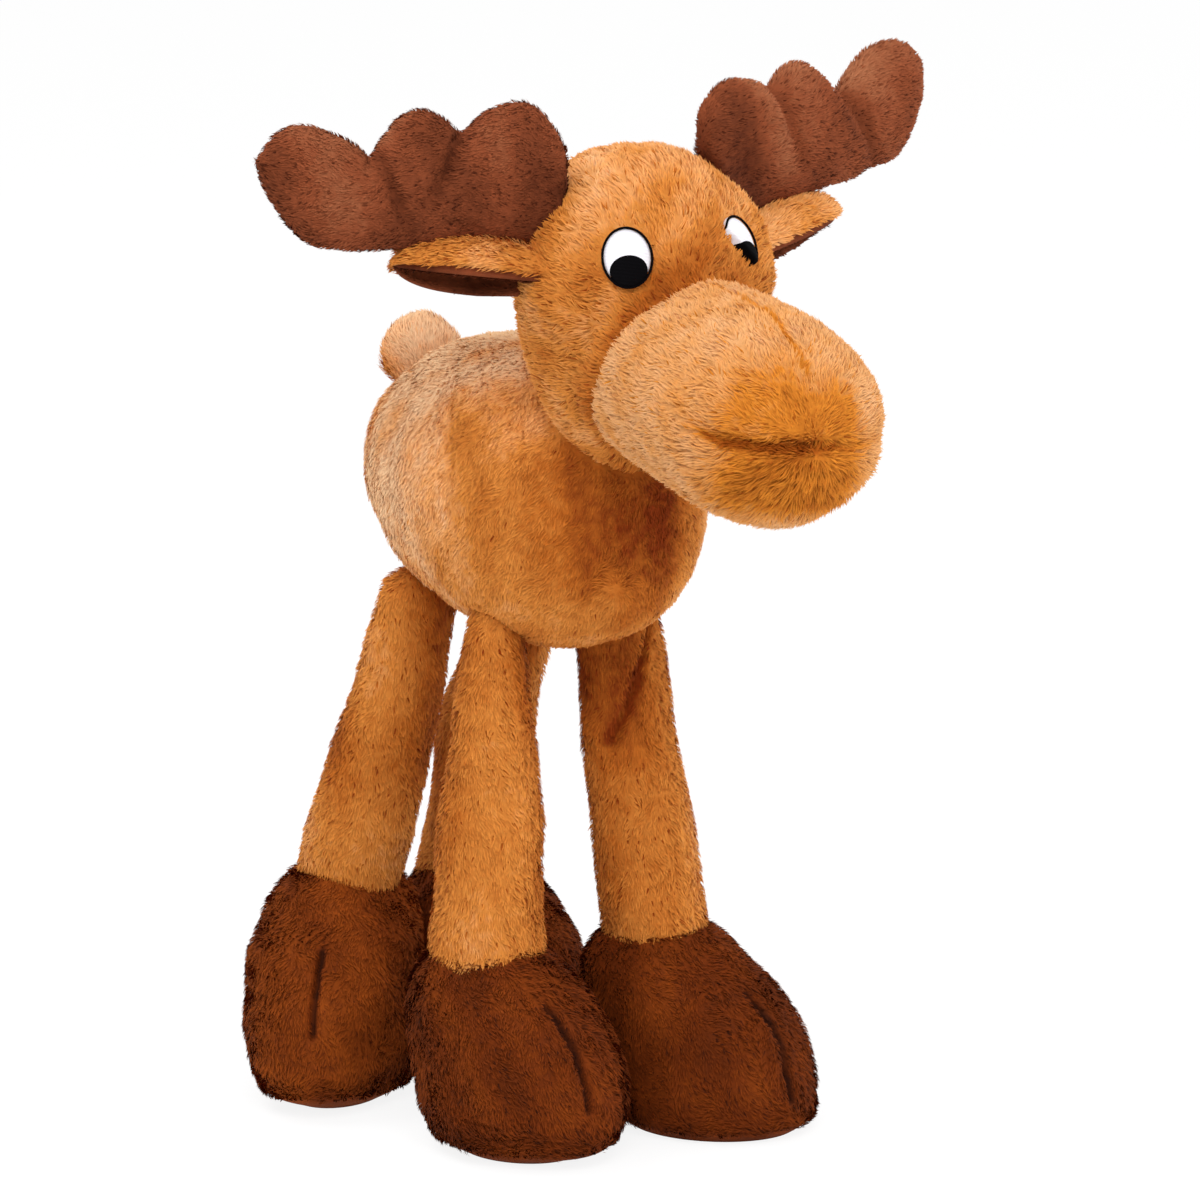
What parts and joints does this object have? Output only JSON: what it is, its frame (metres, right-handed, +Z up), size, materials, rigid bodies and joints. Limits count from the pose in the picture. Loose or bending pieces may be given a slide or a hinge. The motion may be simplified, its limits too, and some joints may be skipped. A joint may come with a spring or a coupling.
{
  "type": "stuffed moose toy",
  "caption": "Plush moose toy standing on long floppy legs, with a big round muzzle, broad stuffed antlers, lined ears, stitched eyes, brown slipper feet and a short tail.",
  "frame": {"origin": "on the floor, under the middle of the whole toy's box", "axes": "+Z up; the animal faces -Y; its own left side is +X"},
  "size_m": [0.2338, 0.279, 0.3459],
  "materials": {
    "orange_plush": "short brushed pile, matte",
    "muzzle_plush": "short brushed pile, matte, paler",
    "brown_plush": "short brushed pile, matte, dark",
    "antler_plush": "very short pile, matte",
    "tail_plush": "short brushed pile, matte, peach",
    "filling": "loose white fibre",
    "white_thread": "satin stitch",
    "black_thread": "satin stitch"
  },
  "bodies": {
    "body": {"body_cover": "orange_plush", "body_filling": "filling"},
    "head": {"head_cover": "orange_plush", "muzzle_cover": "muzzle_plush", "head_filling": "filling", "right_eye_white": "white_thread", "right_eye_rim": "black_thread", "right_eye_pupil": "black_thread", "left_eye_white": "white_thread", "left_eye_rim": "black_thread", "left_eye_pupil": "black_thread"},
    "right_antler": {"right_antler_cover": "antler_plush", "right_antler_filling": "filling"},
    "right_ear": {"right_ear_outer": "orange_plush", "right_ear_lining": "antler_plush"},
    "left_antler": {"left_antler_cover": "antler_plush", "left_antler_filling": "filling"},
    "left_ear": {"left_ear_outer": "orange_plush", "left_ear_lining": "antler_plush"},
    "tail": {"tail": "tail_plush"},
    "front_right_leg": {"front_right_leg_cover": "orange_plush", "front_right_foot_cover": "brown_plush", "front_right_leg_filling": "filling"},
    "front_left_leg": {"front_left_leg_cover": "orange_plush", "front_left_foot_cover": "brown_plush", "front_left_leg_filling": "filling"},
    "hind_right_leg": {"hind_right_leg_cover": "orange_plush", "hind_right_foot_cover": "brown_plush", "hind_right_leg_filling": "filling"},
    "hind_left_leg": {"hind_left_leg_cover": "orange_plush", "hind_left_foot_cover": "brown_plush", "hind_left_leg_filling": "filling"}
  },
  "joints": [
    {"name": "head_turn", "type": "hinge", "parent": "body", "child": "head", "pos_m": [-0.001, -0.02845, 0.222], "axis": [0, 0, 1], "range_deg": [-20, 20], "stiffness_Nm_per_rad": 0.12},
    {"name": "right_antler_flex", "type": "hinge", "parent": "head", "child": "right_antler", "pos_m": [-0.03464, -0.02852, 0.313], "axis": [0.3626, -0.132, 0.9225], "range_deg": [-12, 12], "stiffness_Nm_per_rad": 0.08},
    {"name": "left_antler_flex", "type": "hinge", "parent": "head", "child": "left_antler", "pos_m": [0.03211, -0.03436, 0.313], "axis": [-0.4729, -0.0834, 0.8772], "range_deg": [-12, 12], "stiffness_Nm_per_rad": 0.08},
    {"name": "right_ear_flap", "type": "hinge", "parent": "head", "child": "right_ear", "pos_m": [-0.0407, -0.02899, 0.284], "axis": [0, 0, 1], "range_deg": [-18, 18], "stiffness_Nm_per_rad": 0.01},
    {"name": "left_ear_flap", "type": "hinge", "parent": "head", "child": "left_ear", "pos_m": [0.038, -0.03588, 0.284], "axis": [0, 0, 1], "range_deg": [-18, 18], "stiffness_Nm_per_rad": 0.01},
    {"name": "tail_wag", "type": "hinge", "parent": "body", "child": "tail", "pos_m": [-0.001, 0.09155, 0.2325], "axis": [1, 0, 0], "range_deg": [-15, 15], "stiffness_Nm_per_rad": 0.02},
    {"name": "front_right_leg_swing", "type": "hinge", "parent": "body", "child": "front_right_leg", "pos_m": [-0.026, 0.01955, 0.17], "axis": [-1, 0, 0], "range_deg": [-6, 55]},
    {"name": "front_left_leg_swing", "type": "hinge", "parent": "body", "child": "front_left_leg", "pos_m": [0.024, 0.01955, 0.17], "axis": [-1, 0, 0], "range_deg": [-6, 55]},
    {"name": "hind_right_leg_swing", "type": "hinge", "parent": "body", "child": "hind_right_leg", "pos_m": [-0.026, 0.06955, 0.17], "axis": [-1, 0, 0], "range_deg": [-40, 6]},
    {"name": "hind_left_leg_swing", "type": "hinge", "parent": "body", "child": "hind_left_leg", "pos_m": [0.024, 0.06955, 0.17], "axis": [-1, 0, 0], "range_deg": [-40, 6]}
  ]
}
